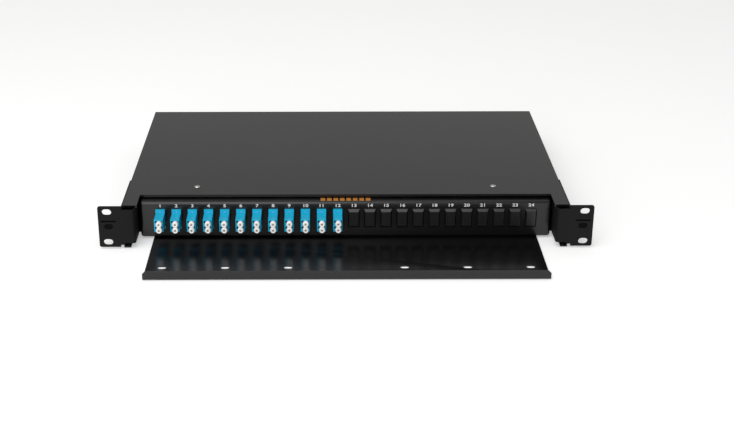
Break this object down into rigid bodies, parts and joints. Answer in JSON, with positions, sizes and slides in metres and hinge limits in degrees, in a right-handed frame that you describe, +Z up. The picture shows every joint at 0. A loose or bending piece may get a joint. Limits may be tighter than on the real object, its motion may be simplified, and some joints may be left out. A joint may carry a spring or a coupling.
{
  "type": "fiber termination box",
  "caption": "Rack-mount fibre termination box: flat black steel case with rack ears, sliding drawer with a row of capped duplex ports and blank plugs, and a front cable shelf.",
  "frame": {"origin": "below the middle of the whole box's bounding box, on the plane that the case stands on", "axes": "+Z up, +X to the right seen from the front, +Y from the front into the rack"},
  "size_m": [0.4826, 0.379, 0.0447],
  "materials": {
    "black_powder_coat": "fine satin powder coat",
    "zinc_steel": "zinc plated",
    "steel_screw": "bright plated",
    "aqua_plastic": "moulded, semi-gloss",
    "white_plastic": "moulded, satin",
    "black_plastic": "moulded, satin",
    "white_print": "screen-printed ink",
    "orange_print": "screen-printed ink",
    "grey_plastic": "moulded, satin"
  },
  "bodies": {
    "case": {"case_base": "black_powder_coat", "top_cover": "black_powder_coat", "cross_brace": "zinc_steel", "rack_ear_left": "black_powder_coat", "rack_ear_right": "black_powder_coat", "guide_rail_left": "black_powder_coat", "guide_rail_right": "black_powder_coat", "cover_screw_left": "steel_screw", "cover_screw_right": "steel_screw", "gland_body_left": "black_plastic", "gland_body_right": "black_plastic", "gland_nut_left": "black_plastic", "gland_nut_right": "black_plastic"},
    "drawer": {"drawer_tray": "black_powder_coat", "front_panel": "black_powder_coat", "cable_shelf": "black_powder_coat", "runner_left": "black_powder_coat", "runner_right": "black_powder_coat", "splice_tray": "grey_plastic", "splice_tray_lid": "grey_plastic", "fibre_spool_left": "grey_plastic", "fibre_spool_right": "grey_plastic", "cable_clamp_left": "zinc_steel", "cable_clamp_right": "zinc_steel", "adapter_01": "aqua_plastic", "adapter_02": "aqua_plastic", "adapter_03": "aqua_plastic", "adapter_04": "aqua_plastic", "adapter_05": "aqua_plastic", "adapter_06": "aqua_plastic", "adapter_07": "aqua_plastic", "adapter_08": "aqua_plastic", "adapter_09": "aqua_plastic", "adapter_10": "aqua_plastic", "adapter_11": "aqua_plastic", "adapter_12": "aqua_plastic", "blank_plug_13": "black_plastic", "blank_plug_14": "black_plastic", "blank_plug_15": "black_plastic", "blank_plug_16": "black_plastic", "blank_plug_17": "black_plastic", "blank_plug_18": "black_plastic", "blank_plug_19": "black_plastic", "blank_plug_20": "black_plastic", "blank_plug_21": "black_plastic", "blank_plug_22": "black_plastic", "blank_plug_23": "black_plastic", "blank_plug_24": "black_plastic"},
    "cap_01": {"dust_cap_01": "white_plastic"},
    "cap_02": {"dust_cap_02": "white_plastic"},
    "cap_03": {"dust_cap_03": "white_plastic"},
    "cap_04": {"dust_cap_04": "white_plastic"},
    "cap_05": {"dust_cap_05": "white_plastic"},
    "cap_06": {"dust_cap_06": "white_plastic"},
    "cap_07": {"dust_cap_07": "white_plastic"},
    "cap_08": {"dust_cap_08": "white_plastic"},
    "cap_09": {"dust_cap_09": "white_plastic"},
    "cap_10": {"dust_cap_10": "white_plastic"},
    "cap_11": {"dust_cap_11": "white_plastic"},
    "cap_12": {"dust_cap_12": "white_plastic"}
  },
  "joints": [
    {"name": "drawer_slide", "type": "slide", "parent": "case", "child": "drawer", "axis": [0, -1, 0], "range_m": [0, 0.18]},
    {"name": "cap_01_pull", "type": "slide", "parent": "drawer", "child": "cap_01", "axis": [0, -1, 0], "range_m": [0, 0.02]},
    {"name": "cap_02_pull", "type": "slide", "parent": "drawer", "child": "cap_02", "axis": [0, -1, 0], "range_m": [0, 0.02]},
    {"name": "cap_03_pull", "type": "slide", "parent": "drawer", "child": "cap_03", "axis": [0, -1, 0], "range_m": [0, 0.02]},
    {"name": "cap_04_pull", "type": "slide", "parent": "drawer", "child": "cap_04", "axis": [0, -1, 0], "range_m": [0, 0.02]},
    {"name": "cap_05_pull", "type": "slide", "parent": "drawer", "child": "cap_05", "axis": [0, -1, 0], "range_m": [0, 0.02]},
    {"name": "cap_06_pull", "type": "slide", "parent": "drawer", "child": "cap_06", "axis": [0, -1, 0], "range_m": [0, 0.02]},
    {"name": "cap_07_pull", "type": "slide", "parent": "drawer", "child": "cap_07", "axis": [0, -1, 0], "range_m": [0, 0.02]},
    {"name": "cap_08_pull", "type": "slide", "parent": "drawer", "child": "cap_08", "axis": [0, -1, 0], "range_m": [0, 0.02]},
    {"name": "cap_09_pull", "type": "slide", "parent": "drawer", "child": "cap_09", "axis": [0, -1, 0], "range_m": [0, 0.02]},
    {"name": "cap_10_pull", "type": "slide", "parent": "drawer", "child": "cap_10", "axis": [0, -1, 0], "range_m": [0, 0.02]},
    {"name": "cap_11_pull", "type": "slide", "parent": "drawer", "child": "cap_11", "axis": [0, -1, 0], "range_m": [0, 0.02]},
    {"name": "cap_12_pull", "type": "slide", "parent": "drawer", "child": "cap_12", "axis": [0, -1, 0], "range_m": [0, 0.02]}
  ]
}
